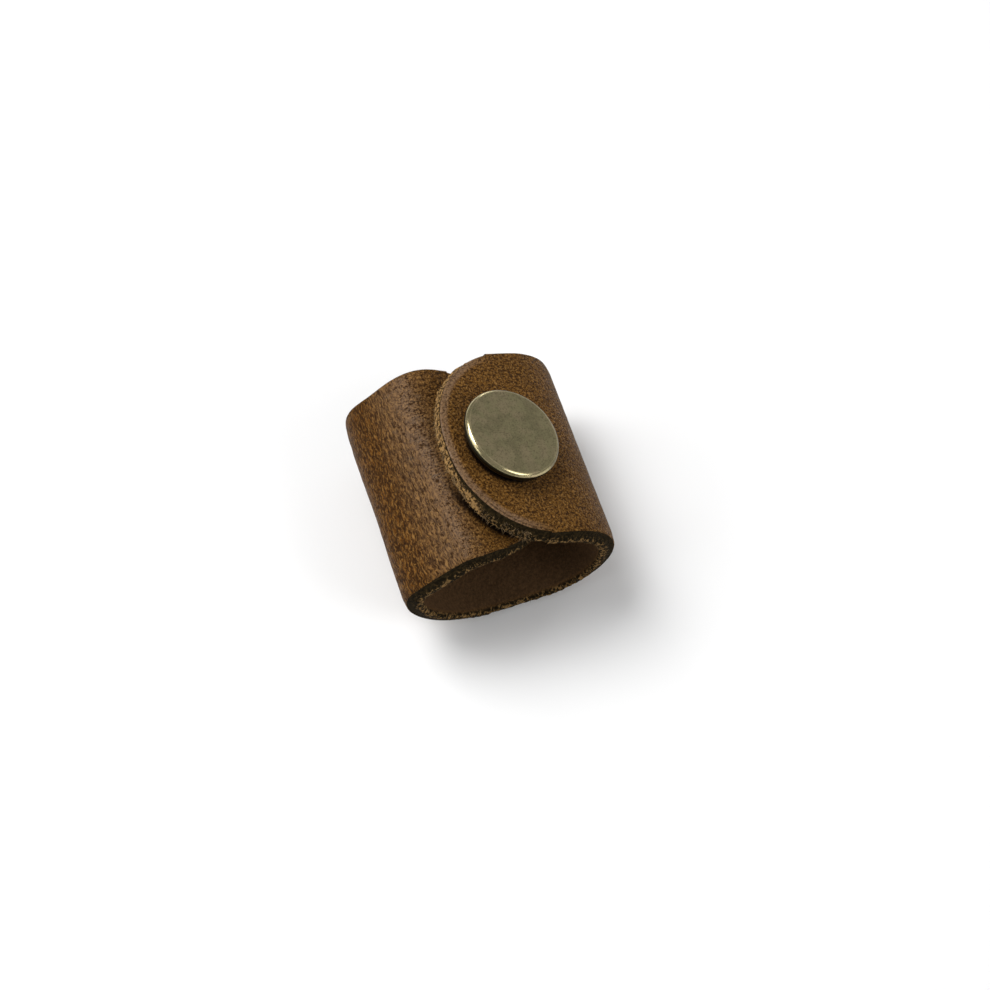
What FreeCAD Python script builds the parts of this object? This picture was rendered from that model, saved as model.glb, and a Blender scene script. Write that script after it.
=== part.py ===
"""Neckerchief slide: a short leather strap bent into a loop and held closed by a snap.

Millimetres, +Z up. The loop lies on its underside and is open along Y, front (-Y) to rear (+Y).
The origin is under the middle of the loop, on the surface that it rests on.

Every size is a cell of the sheet "Sizes". The strap is drawn from the foot of the snap, the point
where the snap's axis meets the grain face of the flap, and the snap's pieces are turned about
that axis. All of them are then placed at the foot's real place.
"""
import FreeCAD, Part
import math
import os
from collections import namedtuple

import Sketcher
from FreeCAD import Placement, Rotation, Vector

PARTS_FOLDER = "parts"
FULL_TURN = 360.0
DEGREES_PER_RADIAN = math.degrees(1.0)

# How a sketch numbers the points of a line or arc, and its own origin.
START = 1
END = 2
CENTRE = 3
ORIGIN = -1

# Driving sizes: (alias, value, what it is). Lengths are in millimetres, angles in degrees.
SIZES = [
    ("strap_width", 25.8, "width of the strap, a 1 inch strap as cut"),
    ("leather", 2.3, "thickness of the leather"),
    ("end_radius", 12.0, "corner radius of both rounded ends"),
    ("snap_slope", 25.5, "fall of the flap to the right at the snap"),
    ("seat_half", 5.3, "half length of the flat stretch of flap at the snap"),
    ("lower_seat_half", 4.5, "flat stretch of the lower layer to the left of the snap"),
    ("end_reach", 7.9, "from the snap's axis to the tip of either end"),
    ("tip_radius", 16.0, "bend of the flap between its flat stretch and its tip"),
    ("layer_gap", 1.6, "space between flap and lower layer at the snap"),
    ("fold_radius", 9.7, "grain face radius of the fold at the right"),
    ("rest_width", 5.6, "the level stretch of the underside, from the fold to the left"),
    ("trim", 0.2, "extra length of both ends before they are cut round"),
    ("trim_cut", 0.3, "how far the cut round an end reaches past its tip"),
    ("side_cut", 1.0, "how far the cut round an end reaches past the strap's edges"),
    ("hole_radius", 2.0, "the two punched holes for the snap"),
    ("seam", 0.05, "clearance between neighbouring pieces"),
    ("cap_radius", 6.25, "radius of the snap's cap, a size 20 snap"),
    ("cap_rim", 0.95, "radius of the cap's rolled edge"),
    ("cap_lift", 0.7, "from the grain face to the underside of the rolled edge"),
    ("cap_dome", 0.12, "rise of the cap's middle over its edge"),
    ("cap_foot_radius", 4.4, "radius of the cap's foot on the leather"),
    ("post_radius", 1.75, "the cap's post through the flap"),
    ("post_grip", 0.3, "how far the post enters the socket"),
    ("socket_radius", 5.0, "radius of the socket ring"),
    ("socket_height", 1.05, "height of the socket ring"),
    ("socket_plate", 0.35, "thickness of the socket's top plate"),
    ("socket_mouth", 2.35, "radius of the socket's mouth"),
    ("stud_radius", 4.2, "radius of the stud's foot"),
    ("stud_plate", 0.3, "thickness of the stud's foot"),
    ("nub_radius", 2.15, "radius of the stud's nub"),
    ("nub_height", 0.75, "height of the nub over the stud's foot"),
    ("nub_round", 0.3, "rounding of the nub's shoulder"),
    ("bore_radius", 1.25, "radius of the stud's bore"),
    ("bore_roof", 0.3, "metal over the stud's bore"),
    ("pin_radius", 1.2, "the back piece's pin through the lower layer"),
    ("back_radius", 4.5, "radius of the back piece's disc"),
    ("back_plate", 0.55, "thickness of the back piece's disc"),
    ("back_round", 0.3, "rounding of the disc's edge"),
]

# The left side of the loop, at its front and its rear edge, from the underside up to the snap.
# Radii are those of the grain face, in millimetres. Turns are in degrees.
Side = namedtuple("Side", "edge corner_radius corner_turn wall_radius wall_turn crest_radius crest_turn")
SIDES = [
    Side("front", 3.9, 46.0, 30.0, 14.0, 4.5, 55.0),
    Side("rear", 4.4, 38.0, 26.0, 10.0, 6.5, 56.0),
]

# A corner of an outline: its place, and the radius of the arc to the next corner with the side of
# the way that the arc's centre is on. An empty radius is a straight line.
Corner = namedtuple("Corner", "across up radius centre", defaults=("", ""))


def add_cell(sheet, alias, content, note):
    """Add a named cell under the last one."""
    row = add_cell.next_row
    add_cell.next_row += 1
    sheet.set(f"A{row}", note)
    sheet.set(f"B{row}", str(content))
    sheet.setAlias(f"B{row}", alias)


add_cell.next_row = 1


def add_joint(sheet, joint, across, up, heading):
    """Name a joint of the wall's section: its grain side, its heading and its flesh side.

    The way runs clockwise round the loop, from the flap's tip to the tip of the lower end.
    """
    add_cell(sheet, f"{joint}_heading", f"={heading}", f"{joint}: heading of the way")
    add_cell(sheet, f"{joint}_x", f"={across}", f"{joint}: grain side, across")
    add_cell(sheet, f"{joint}_z", f"={up}", f"{joint}: grain side, up")
    add_cell(sheet, f"{joint}_flesh_x", f"={joint}_x + leather * sin({joint}_heading)",
             f"{joint}: flesh side, across")
    add_cell(sheet, f"{joint}_flesh_z", f"={joint}_z - leather * cos({joint}_heading)",
             f"{joint}: flesh side, up")


def add_joint_before(sheet, joint, following, radius, turn):
    """Name the joint where an arc starts that bends by turn into the joint that follows."""
    heading = f"({following}_heading + {turn})"
    add_joint(
        sheet, joint,
        f"{following}_x - {radius} * (sin({heading}) - sin({following}_heading))",
        f"{following}_z + {radius} * (cos({heading}) - cos({following}_heading))",
        heading)


def fill_sheet(sheet):
    """Write the driving sizes, and the joints of both sections as formulas of them."""
    for alias, value, note in SIZES:
        add_cell(sheet, alias, value, note)
    for side in SIDES:
        for column in Side._fields[1:]:
            note = f"{side.edge} edge, {column}"
            add_cell(sheet, f"{side.edge}_{column}", getattr(side, column), note)

    add_joint(sheet, "seat_left", "-seat_half * cos(snap_slope)", "seat_half * sin(snap_slope)",
              "-snap_slope")
    add_cell(sheet, "tip_turn", f"=(end_reach + trim - seat_half) / tip_radius * {DEGREES_PER_RADIAN:.6f}",
             "turn of the flap's tip")
    add_joint_before(sheet, "flap_tip", "seat_left", "tip_radius", "tip_turn")
    add_joint(sheet, "seat_right", "seat_half * cos(snap_slope)", "-seat_half * sin(snap_slope)",
              "-snap_slope")
    add_joint(sheet, "fold_end", "seat_right_x - fold_radius * sin(snap_slope)",
              "seat_right_z - fold_radius * (cos(snap_slope) + 1)", "-180")
    add_joint(sheet, "rest_left", "fold_end_x - rest_width", "fold_end_z", "-180")

    add_cell(sheet, "lower_depth", "=leather + layer_gap", "from the flap's grain face to the lower one's")
    add_joint(sheet, "lower_left",
              "-lower_depth * sin(snap_slope) - lower_seat_half * cos(snap_slope)",
              "-lower_depth * cos(snap_slope) + lower_seat_half * sin(snap_slope)", "-snap_slope")
    add_joint(sheet, "lower_tip",
              "-lower_depth * sin(snap_slope) + (end_reach + trim) * cos(snap_slope)",
              "-lower_depth * cos(snap_slope) - (end_reach + trim) * sin(snap_slope)", "-snap_slope")
    for side in SIDES:
        edge = side.edge
        add_joint_before(sheet, f"{edge}_crest", "lower_left", f"{edge}_crest_radius",
                         f"{edge}_crest_turn")
        add_joint_before(sheet, f"{edge}_wall", f"{edge}_crest", f"{edge}_wall_radius",
                         f"{edge}_wall_turn")
        add_joint_before(sheet, f"{edge}_corner", f"{edge}_wall", f"{edge}_corner_radius",
                         f"{edge}_corner_turn")
        # The lower left arc ends level on the underside, which settles its radius.
        add_cell(sheet, f"{edge}_lower_radius",
                 f"=({edge}_corner_z - fold_end_z) / (1 + cos({edge}_corner_heading))",
                 f"{edge} edge, radius of the lower left arc")
        add_joint(sheet, f"{edge}_rest",
                  f"{edge}_corner_x + {edge}_lower_radius * sin({edge}_corner_heading)",
                  "fold_end_z", "180")

    add_cell(sheet, "foot_x", "=-(fold_end_x + fold_radius + rear_rest_x - rear_lower_radius) / 2",
             "the snap's foot, right of the loop's middle")
    add_cell(sheet, "foot_z", "=-fold_end_z", "the snap's foot, over the surface")


def section_outline(edge):
    """The corners of the wall's section at one edge: out along the grain face, back along the flesh."""
    way = [
        ("flap_tip", "tip_radius"),
        ("seat_left", ""),
        ("seat_right", "fold_radius"),
        ("fold_end", ""),
        ("rest_left", ""),
        (f"{edge}_rest", f"{edge}_lower_radius"),
        (f"{edge}_corner", f"{edge}_corner_radius"),
        (f"{edge}_wall", f"{edge}_wall_radius"),
        (f"{edge}_crest", f"{edge}_crest_radius"),
        ("lower_left", ""),
        ("lower_tip", ""),
    ]
    corners = [Corner(f"Sizes.{joint}_x", f"Sizes.{joint}_z", radius and f"Sizes.{radius}", "right")
               for joint, radius in way]
    flesh = []
    for place, (joint, _) in enumerate(way):
        radius = way[place - 1][1] if place else ""
        flesh.append(Corner(f"Sizes.{joint}_flesh_x", f"Sizes.{joint}_flesh_z",
                            radius and f"Sizes.{radius} - Sizes.leather", "left"))
    return corners + flesh[::-1]


def end_outline(direction):
    """The waste round a rounded end that points along +X or -X from the snap's axis."""
    half = "Sizes.strap_width / 2"
    inset = "(Sizes.strap_width / 2 - Sizes.end_radius)"
    outside = "(Sizes.strap_width / 2 + Sizes.side_cut)"
    start = f"{direction} * (Sizes.end_reach - Sizes.end_radius)"
    tip = f"{direction} * Sizes.end_reach"
    beyond = f"{direction} * (Sizes.end_reach + Sizes.trim_cut)"
    centre = "left" if direction < 0 else "right"
    return [
        Corner(start, half, "Sizes.end_radius", centre),
        Corner(tip, inset),
        Corner(tip, f"-{inset}", "Sizes.end_radius", centre),
        Corner(start, f"-{half}"),
        Corner(start, f"-{outside}"),
        Corner(beyond, f"-{outside}"),
        Corner(beyond, outside),
        Corner(start, outside),
    ]


def new_body(document, name):
    """Start a body whose name and label are its node's name."""
    body = document.addObject("PartDesign::Body", name)
    body.Label = name
    return body


def new_sketch(body, name, plane_role):
    """Start a sketch on one of the body's own origin planes."""
    planes = {feature.Role: feature for feature in body.Origin.OriginFeatures}
    sketch = body.newObject("Sketcher::SketchObject", name)
    sketch.AttachmentSupport = (planes[plane_role], [""])
    sketch.MapMode = "FlatFace"
    return sketch


def arc_centre(start, end, radius, side):
    """The centre of the arc of under half a turn between two points."""
    chord = end - start
    left = Vector(-chord.y, chord.x, 0).normalize()
    reach = math.sqrt(radius ** 2 - (chord.Length / 2) ** 2)
    return (start + end) / 2 + left * (reach if side == "left" else -reach)


def bind(sketch, constraint, expression):
    """Add a constraint whose value follows the sheet."""
    index = sketch.addConstraint(constraint)
    sketch.setExpression(f"Constraints[{index}]", expression)


def draw_outline(sketch, corners):
    """Draw a closed outline, with every corner's place and every arc's radius bound to the sheet."""
    places = []
    for corner in corners:
        across = float(sketch.evalExpression(corner.across))
        up = float(sketch.evalExpression(corner.up))
        places.append(Vector(across, up, 0))
    ends = []
    for number, corner in enumerate(corners):
        start, end = places[number], places[(number + 1) % len(places)]
        if corner.radius:
            radius = float(sketch.evalExpression(corner.radius))
            centre = arc_centre(start, end, radius, corner.centre)
            way = (start, end) if corner.centre == "left" else (end, start)
            angles = [math.atan2(point.y - centre.y, point.x - centre.x) for point in way]
            circle = Part.Circle(centre, Vector(0, 0, 1), radius)
            line = sketch.addGeometry(Part.ArcOfCircle(circle, *angles), False)
            bind(sketch, Sketcher.Constraint("Radius", line, radius), corner.radius)
            ends.append((line, START, END) if corner.centre == "left" else (line, END, START))
        else:
            line = sketch.addGeometry(Part.LineSegment(start, end), False)
            ends.append((line, START, END))
    for number, corner in enumerate(corners):
        line, first, last = ends[number]
        following, its_first, _ = ends[(number + 1) % len(ends)]
        sketch.addConstraint(Sketcher.Constraint("Coincident", line, last, following, its_first))
        bind(sketch, Sketcher.Constraint("DistanceX", line, first, places[number].x), corner.across)
        bind(sketch, Sketcher.Constraint("DistanceY", line, first, places[number].y), corner.up)


def cut_end(body, name, direction, reversed_cut):
    """Cut one end of the strap round, and punch its hole for the snap, from between the layers."""
    sketch = new_sketch(body, f"{name}_outline", "XY_Plane")
    sketch.AttachmentOffset = Placement(Vector(), Rotation(Vector(0, 1, 0), 1))
    middle = "(Sizes.leather + Sizes.layer_gap / 2)"
    sketch.setExpression("AttachmentOffset.Rotation.Angle", "Sizes.snap_slope")
    sketch.setExpression("AttachmentOffset.Base.x", f"-{middle} * sin(Sizes.snap_slope)")
    sketch.setExpression("AttachmentOffset.Base.z", f"-{middle} * cos(Sizes.snap_slope)")
    draw_outline(sketch, end_outline(direction))
    radius = float(sketch.evalExpression("Sizes.hole_radius"))
    hole = sketch.addGeometry(Part.Circle(Vector(), Vector(0, 0, 1), radius), False)
    sketch.addConstraint(Sketcher.Constraint("Coincident", hole, CENTRE, ORIGIN, START))
    bind(sketch, Sketcher.Constraint("Radius", hole, radius), "Sizes.hole_radius")
    pocket = body.newObject("PartDesign::Pocket", name)
    pocket.Profile = sketch
    pocket.Reversed = reversed_cut
    pocket.setExpression("Length", "Sizes.layer_gap / 2 + Sizes.leather + Sizes.trim")


def make_strap(document):
    """The strap: a ruled wall between its front and its rear section, both ends cut round."""
    body = new_body(document, "strap")
    sections = []
    for side, place in zip(SIDES, ("Sizes.strap_width / 2", "-Sizes.strap_width / 2")):
        sketch = new_sketch(body, f"{side.edge}_section", "XZ_Plane")
        sketch.setExpression("AttachmentOffset.Base.z", place)
        draw_outline(sketch, section_outline(side.edge))
        sections.append(sketch)
    wall = body.newObject("PartDesign::AdditiveLoft", "wall")
    wall.Profile = sections[0]
    wall.Sections = sections[1:]
    wall.Ruled = True
    cut_end(body, "flap_end", -1, True)
    cut_end(body, "lower_end", 1, False)
    body.setExpression("Placement.Base.x", "Sizes.foot_x")
    body.setExpression("Placement.Base.z", "Sizes.foot_z")
    return body


def make_turned(document, name, corners):
    """A piece of the snap, turned about the snap's axis. Heights count from the flap's grain face."""
    body = new_body(document, name)
    sketch = new_sketch(body, f"{name}_profile", "XZ_Plane")
    draw_outline(sketch, corners)
    turned = body.newObject("PartDesign::Revolution", f"{name}_turned")
    turned.Profile = sketch
    turned.ReferenceAxis = (sketch, ["V_Axis"])
    turned.Angle = FULL_TURN
    body.Placement = Placement(Vector(), Rotation(Vector(0, 1, 0), 1))
    body.setExpression("Placement.Rotation.Angle", "Sizes.snap_slope")
    body.setExpression("Placement.Base.x", "Sizes.foot_x")
    body.setExpression("Placement.Base.z", "Sizes.foot_z")
    return body


def cap_profile():
    """The cap: a low crown, a rolled edge, a foot on the leather and the post."""
    edge = "(Sizes.cap_radius - Sizes.cap_rim)"
    top = "(Sizes.cap_lift + 2 * Sizes.cap_rim)"
    crown = f"({edge} ^ 2 + Sizes.cap_dome ^ 2) / (2 * Sizes.cap_dome)"
    widest = "Sizes.cap_lift + Sizes.cap_rim"
    return [
        Corner("0", f"{top} + Sizes.cap_dome", crown, "right"),
        Corner(edge, top, "Sizes.cap_rim", "right"),
        Corner("Sizes.cap_radius", widest, "Sizes.cap_rim", "right"),
        Corner(edge, "Sizes.cap_lift"),
        Corner("Sizes.cap_foot_radius", "Sizes.cap_lift"),
        Corner("Sizes.cap_foot_radius", "Sizes.seam"),
        Corner("Sizes.post_radius", "Sizes.seam"),
        Corner("Sizes.post_radius", "-Sizes.leather - Sizes.seam - Sizes.post_grip"),
        Corner("0", "-Sizes.leather - Sizes.seam - Sizes.post_grip"),
    ]


def socket_profile():
    """The socket: a ring under the flap, its plate bored for the post and its mouth for the nub."""
    top = "-Sizes.leather - Sizes.seam"
    plate = f"{top} - Sizes.socket_plate"
    mouth = f"{top} - Sizes.socket_height"
    bore = "Sizes.post_radius + Sizes.seam"
    return [
        Corner(bore, top),
        Corner("Sizes.socket_radius", top),
        Corner("Sizes.socket_radius", mouth),
        Corner("Sizes.socket_mouth", mouth),
        Corner("Sizes.socket_mouth", plate),
        Corner(bore, plate),
    ]


def stud_profile():
    """The stud: a thin foot on the lower layer, with a nub that stands in the socket."""
    foot = "-Sizes.lower_depth + Sizes.seam"
    plate = f"({foot} + Sizes.stud_plate)"
    nub = f"({plate} + Sizes.nub_height)"
    return [
        Corner("0", nub),
        Corner("Sizes.nub_radius - Sizes.nub_round", nub, "Sizes.nub_round", "right"),
        Corner("Sizes.nub_radius", f"{nub} - Sizes.nub_round"),
        Corner("Sizes.nub_radius", plate),
        Corner("Sizes.stud_radius", plate),
        Corner("Sizes.stud_radius", foot),
        Corner("Sizes.bore_radius", foot),
        Corner("Sizes.bore_radius", f"{nub} - Sizes.bore_roof"),
        Corner("0", f"{nub} - Sizes.bore_roof"),
    ]


def back_profile():
    """The back piece: a disc inside the loop, with the pin that the stud is set on."""
    face = "(-Sizes.lower_depth - Sizes.leather - Sizes.seam)"
    back = f"({face} - Sizes.back_plate)"
    nub = "(-Sizes.lower_depth + Sizes.seam + Sizes.stud_plate + Sizes.nub_height)"
    pin = f"{nub} - Sizes.bore_roof - Sizes.seam"
    return [
        Corner("0", pin),
        Corner("Sizes.pin_radius", pin),
        Corner("Sizes.pin_radius", face),
        Corner("Sizes.back_radius", face),
        Corner("Sizes.back_radius", f"{back} + Sizes.back_round", "Sizes.back_round", "right"),
        Corner("Sizes.back_radius - Sizes.back_round", back),
        Corner("0", back),
    ]


def check_and_export(document, bodies):
    """Stop if anything failed, then write each piece as a STEP file."""
    for item in document.Objects:
        if "Invalid" in item.State or "Error" in item.State:
            raise RuntimeError(f"{item.Name} is {item.State}")
    for body in bodies:
        shape = body.Shape
        if shape.isNull() or not shape.isValid() or len(shape.Solids) != 1:
            raise RuntimeError(f"{body.Label} is not one valid solid")
    os.makedirs(PARTS_FOLDER, exist_ok=True)
    for body in bodies:
        body.Shape.exportStep(os.path.join(PARTS_FOLDER, f"{body.Label}.step"))
        box = body.Shape.BoundBox
        print(f"{body.Label}: {body.Shape.Volume:.2f} mm3, "
              f"x {box.XMin:.2f} {box.XMax:.2f}, y {box.YMin:.2f} {box.YMax:.2f}, "
              f"z {box.ZMin:.2f} {box.ZMax:.2f}")


def main():
    """Build the slide and write its pieces."""
    document = FreeCAD.newDocument("neckerchief_slide")
    sheet = document.addObject("Spreadsheet::Sheet", "Sizes")
    fill_sheet(sheet)
    document.recompute()
    bodies = [
        make_strap(document),
        make_turned(document, "snap_cap", cap_profile()),
        make_turned(document, "snap_socket", socket_profile()),
        make_turned(document, "snap_stud", stud_profile()),
        make_turned(document, "snap_back", back_profile()),
    ]
    document.recompute()
    check_and_export(document, bodies)


main()
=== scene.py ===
"""Neckerchief slide: a waxed leather strap bent into a loop, held closed by an antique-brass snap.

The strap is modelled flat, in developed places (along, across, depth) in millimetres: along the
grain face from the flap's tip to the lower end's tip, across from the front edge to the rear edge,
and depth from the grain face to the flesh face. A form then bends those places into the loop.
"""

import itertools
import math
from collections import namedtuple

import bpy
import numpy as np
from bpy.props import FloatProperty, FloatVectorProperty, IntProperty, PointerProperty
from mathutils import Matrix, Vector


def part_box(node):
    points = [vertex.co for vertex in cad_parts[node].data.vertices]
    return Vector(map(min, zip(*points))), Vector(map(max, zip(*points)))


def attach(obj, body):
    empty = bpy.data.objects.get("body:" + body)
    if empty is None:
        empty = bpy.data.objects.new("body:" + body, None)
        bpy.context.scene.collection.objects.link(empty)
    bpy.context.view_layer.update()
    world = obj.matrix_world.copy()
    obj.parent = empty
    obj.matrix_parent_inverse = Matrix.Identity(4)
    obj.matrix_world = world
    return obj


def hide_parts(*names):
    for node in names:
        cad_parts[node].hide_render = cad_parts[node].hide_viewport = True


bl_info = {
    "name": "Neckerchief Slide",
    "version": (1, 0, 0),
    "blender": (4, 5, 0),
    "location": "View3D > Sidebar > Slide",
    "description": "Leather neckerchief slide with a brass snap, dressed over its solid model",
    "category": "Object",
}

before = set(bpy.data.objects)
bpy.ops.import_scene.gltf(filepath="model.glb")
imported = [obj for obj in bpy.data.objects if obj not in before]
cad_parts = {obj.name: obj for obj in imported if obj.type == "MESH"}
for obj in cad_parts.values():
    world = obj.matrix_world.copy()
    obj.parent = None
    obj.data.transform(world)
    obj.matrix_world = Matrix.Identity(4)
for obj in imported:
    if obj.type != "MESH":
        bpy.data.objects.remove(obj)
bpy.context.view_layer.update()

MM = 0.001
BODY = "root"

# The strap's own sizes, which the solid model shares: millimetres and radians.
STRAP_BOX = [Vector(corner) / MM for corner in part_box("strap")]
STRAP_WIDTH = STRAP_BOX[1].y - STRAP_BOX[0].y
LEATHER = 2.3
END_RADIUS = 12.0
SNAP_SLOPE = math.radians(25.5)
SEAT_HALF = 5.3
LOWER_SEAT_HALF = 4.5
END_REACH = 7.9
TIP_RADIUS = 16.0
LAYER_GAP = 1.6
LOWER_DEPTH = LEATHER + LAYER_GAP
FOLD_RADIUS = 9.7
HOLE_RADIUS = 2.0
# The heading of the level underside, where the fold has turned the grain face over.
LEVEL = -math.pi

# The left side of the loop at an edge of the strap, as the solid model has it. The radii are in
# millimetres and the turns in degrees.
Side = namedtuple("Side", "corner_radius corner_turn wall_radius wall_turn crest_radius crest_turn")
FRONT = Side(3.9, 46.0, 30.0, 14.0, 4.5, 55.0)
REAR = Side(4.4, 38.0, 26.0, 10.0, 6.5, 56.0)

Joint = namedtuple("Joint", "x z heading")
Stretch = namedtuple("Stretch", "start radius turn length")

# Where some stretches stand in the list that edge_stretches makes.
UNDERSIDE, CORNER, CREST, LOWER_SEAT = 3, 5, 7, 8

# Seeds of the strap's uneven forms, and of the fibres.
WANDER_SEED, FINE_SEED, COARSE_SEED, SWELL_SEED, UNEVEN_SEED = 3, 5, 6, 8, 9
FIBRE_SEED, TUFT_SEED = 21, 7777

# How far in from the outline a change of the outline draws the leather along, in millimetres.
EDGE_ZONE = 2.5

# Shares of the flare: all round the cut edge, at its front, and at both long edges.
ROUND_FLARE, FRONT_FLARE, LONG_FLARE = 0.15, 0.4, 0.45


def smooth_step(low, high, value):
    """0 at low, 1 at high, and a smooth rise between. Low may be the larger one."""
    part = np.clip((np.asarray(value, float) - low) / (high - low), 0, 1)
    return part * part * (3 - 2 * part)


def soft_noise(seed, places, size):
    """Smooth noise between -1 and 1 at an array of places, with swells of about the given size."""
    count = 32
    lattice = np.random.default_rng(seed).uniform(-1, 1, (count, count, count))
    cell = np.asarray(places, float) / size
    base = np.floor(cell).astype(int)
    part = smooth_step(0, 1, cell - base)
    total = np.zeros(len(cell))
    for corner in itertools.product((0, 1), repeat=3):
        weight = np.prod(np.where(corner, part, 1 - part), axis=1)
        total += weight * lattice[tuple(((base + corner) % count).T)]
    return total


def joint_before(following, radius, turn):
    """The joint where an arc starts that bends by turn into the joint that follows."""
    heading = following.heading + turn
    return Joint(
        following.x - radius * (math.sin(heading) - math.sin(following.heading)),
        following.z + radius * (math.cos(heading) - math.cos(following.heading)),
        heading)


def arc(start, radius, turn):
    return Stretch(start, radius, turn, radius * turn)


def straight(start, length):
    return Stretch(start, 0.0, 0.0, length)


def edge_stretches(side):
    """The way of the grain face at one edge of the strap, from the flap's tip to the lower tip."""
    slope = SNAP_SLOPE
    seat_left = Joint(-SEAT_HALF * math.cos(slope), SEAT_HALF * math.sin(slope), -slope)
    tip_turn = (END_REACH - SEAT_HALF) / TIP_RADIUS
    seat_right = Joint(-seat_left.x, -seat_left.z, -slope)
    fold_end = Joint(seat_right.x - FOLD_RADIUS * math.sin(slope),
                     seat_right.z - FOLD_RADIUS * (math.cos(slope) + 1), LEVEL)
    lower_left = Joint(-LOWER_DEPTH * math.sin(slope) - LOWER_SEAT_HALF * math.cos(slope),
                       -LOWER_DEPTH * math.cos(slope) + LOWER_SEAT_HALF * math.sin(slope), -slope)
    turns = [math.radians(turn) for turn in (side.crest_turn, side.wall_turn, side.corner_turn)]
    crest = joint_before(lower_left, side.crest_radius, turns[0])
    wall = joint_before(crest, side.wall_radius, turns[1])
    corner = joint_before(wall, side.corner_radius, turns[2])
    lower_radius = (corner.z - fold_end.z) / (1 + math.cos(corner.heading))
    rest = Joint(corner.x + lower_radius * math.sin(corner.heading), fold_end.z, LEVEL)
    lower_turn = LEVEL - (corner.heading - 2 * math.pi)
    return [
        arc(joint_before(seat_left, TIP_RADIUS, tip_turn), TIP_RADIUS, tip_turn),
        straight(seat_left, 2 * SEAT_HALF),
        arc(seat_right, FOLD_RADIUS, math.pi - slope),
        straight(fold_end, fold_end.x - rest.x),
        arc(rest, lower_radius, lower_turn),
        arc(corner, side.corner_radius, turns[2]),
        arc(wall, side.wall_radius, turns[1]),
        arc(crest, side.crest_radius, turns[0]),
        straight(lower_left, LOWER_SEAT_HALF + END_REACH),
    ]


class LoopForm:
    """Bends developed places of the strap into the loop, ruled from its front to its rear edge."""

    # The bends are softened by taking the mean of a few places this far apart, in millimetres.
    SOFTENING = 0.9
    TAPS = (-1.0, -0.5, 0.0, 0.5, 1.0)

    def __init__(self):
        front, rear = self.edges = [edge_stretches(side) for side in (FRONT, REAR)]
        self.lengths = np.array([(a.length + b.length) / 2 for a, b in zip(front, rear)])
        self.starts = np.concatenate([[0.0], np.cumsum(self.lengths)[:-1]])
        self.total = float(self.lengths.sum())
        fold_end = front[UNDERSIDE].start
        self.foot = np.array([STRAP_BOX[1].x - fold_end.x - FOLD_RADIUS, STRAP_BOX[0].z - fold_end.z])

    def section(self, stretches, number, part):
        """Places and ways into the leather on one edge's section, at a part of a stretch."""
        start = np.array([stretch.start for stretch in stretches])[number]
        sizes = np.array([(stretch.radius, stretch.turn, stretch.length) for stretch in stretches])
        radius, turn, length = sizes[number].T
        before = start[:, 2]
        after = before - part * turn
        run = np.where(radius > 0, 0.0, part * length)
        x = start[:, 0] + radius * (np.sin(before) - np.sin(after)) + run * np.cos(before)
        z = start[:, 1] + radius * (np.cos(after) - np.cos(before)) + run * np.sin(before)
        return np.stack([x, z], 1), np.stack([np.sin(after), -np.cos(after)], 1)

    def ruled(self, along, across):
        """The grain face and the unit way into the leather, as the solid model has them."""
        last = len(self.starts) - 1
        number = np.clip(np.searchsorted(self.starts, along, side="right") - 1, 0, last)
        part = (along - self.starts[number]) / self.lengths[number]
        share = (across / STRAP_WIDTH + 0.5)[:, None]
        front_face, front_way = self.section(self.edges[0], number, part)
        rear_face, rear_way = self.section(self.edges[1], number, part)
        face = front_face + (rear_face - front_face) * share
        way = front_way + (rear_way - front_way) * share
        return face, way / np.linalg.norm(way, axis=1)[:, None]

    def bend(self, along, across, depth):
        """Places in the frame, in metres and none under the floor, of developed places."""
        face, way = np.zeros((len(along), 2)), np.zeros((len(along), 2))
        for tap in self.TAPS:
            shifted_face, shifted_way = self.ruled(along + tap * self.SOFTENING, across)
            face += shifted_face / len(self.TAPS)
            way += shifted_way / len(self.TAPS)
        way /= np.linalg.norm(way, axis=1)[:, None]
        flat = face + way * depth[:, None] + self.foot
        return np.stack([flat[:, 0], across, np.maximum(flat[:, 1], 0.0)], 1) * MM


FORM = LoopForm()


class Wire:
    """A socket's output. Python's operators on it add Math nodes to the finish it belongs to."""

    def __init__(self, finish, socket):
        self.finish, self.socket = finish, socket

    def math(self, operation, first, second):
        return self.finish.node("Math", {"operation": operation}, {0: first, 1: second})

    def __add__(self, other):
        return self.math("ADD", self, other)

    __radd__ = __add__

    def __sub__(self, other):
        return self.math("SUBTRACT", self, other)

    def __rsub__(self, other):
        return self.math("SUBTRACT", other, self)

    def __mul__(self, other):
        return self.math("MULTIPLY", self, other)

    __rmul__ = __mul__


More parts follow.
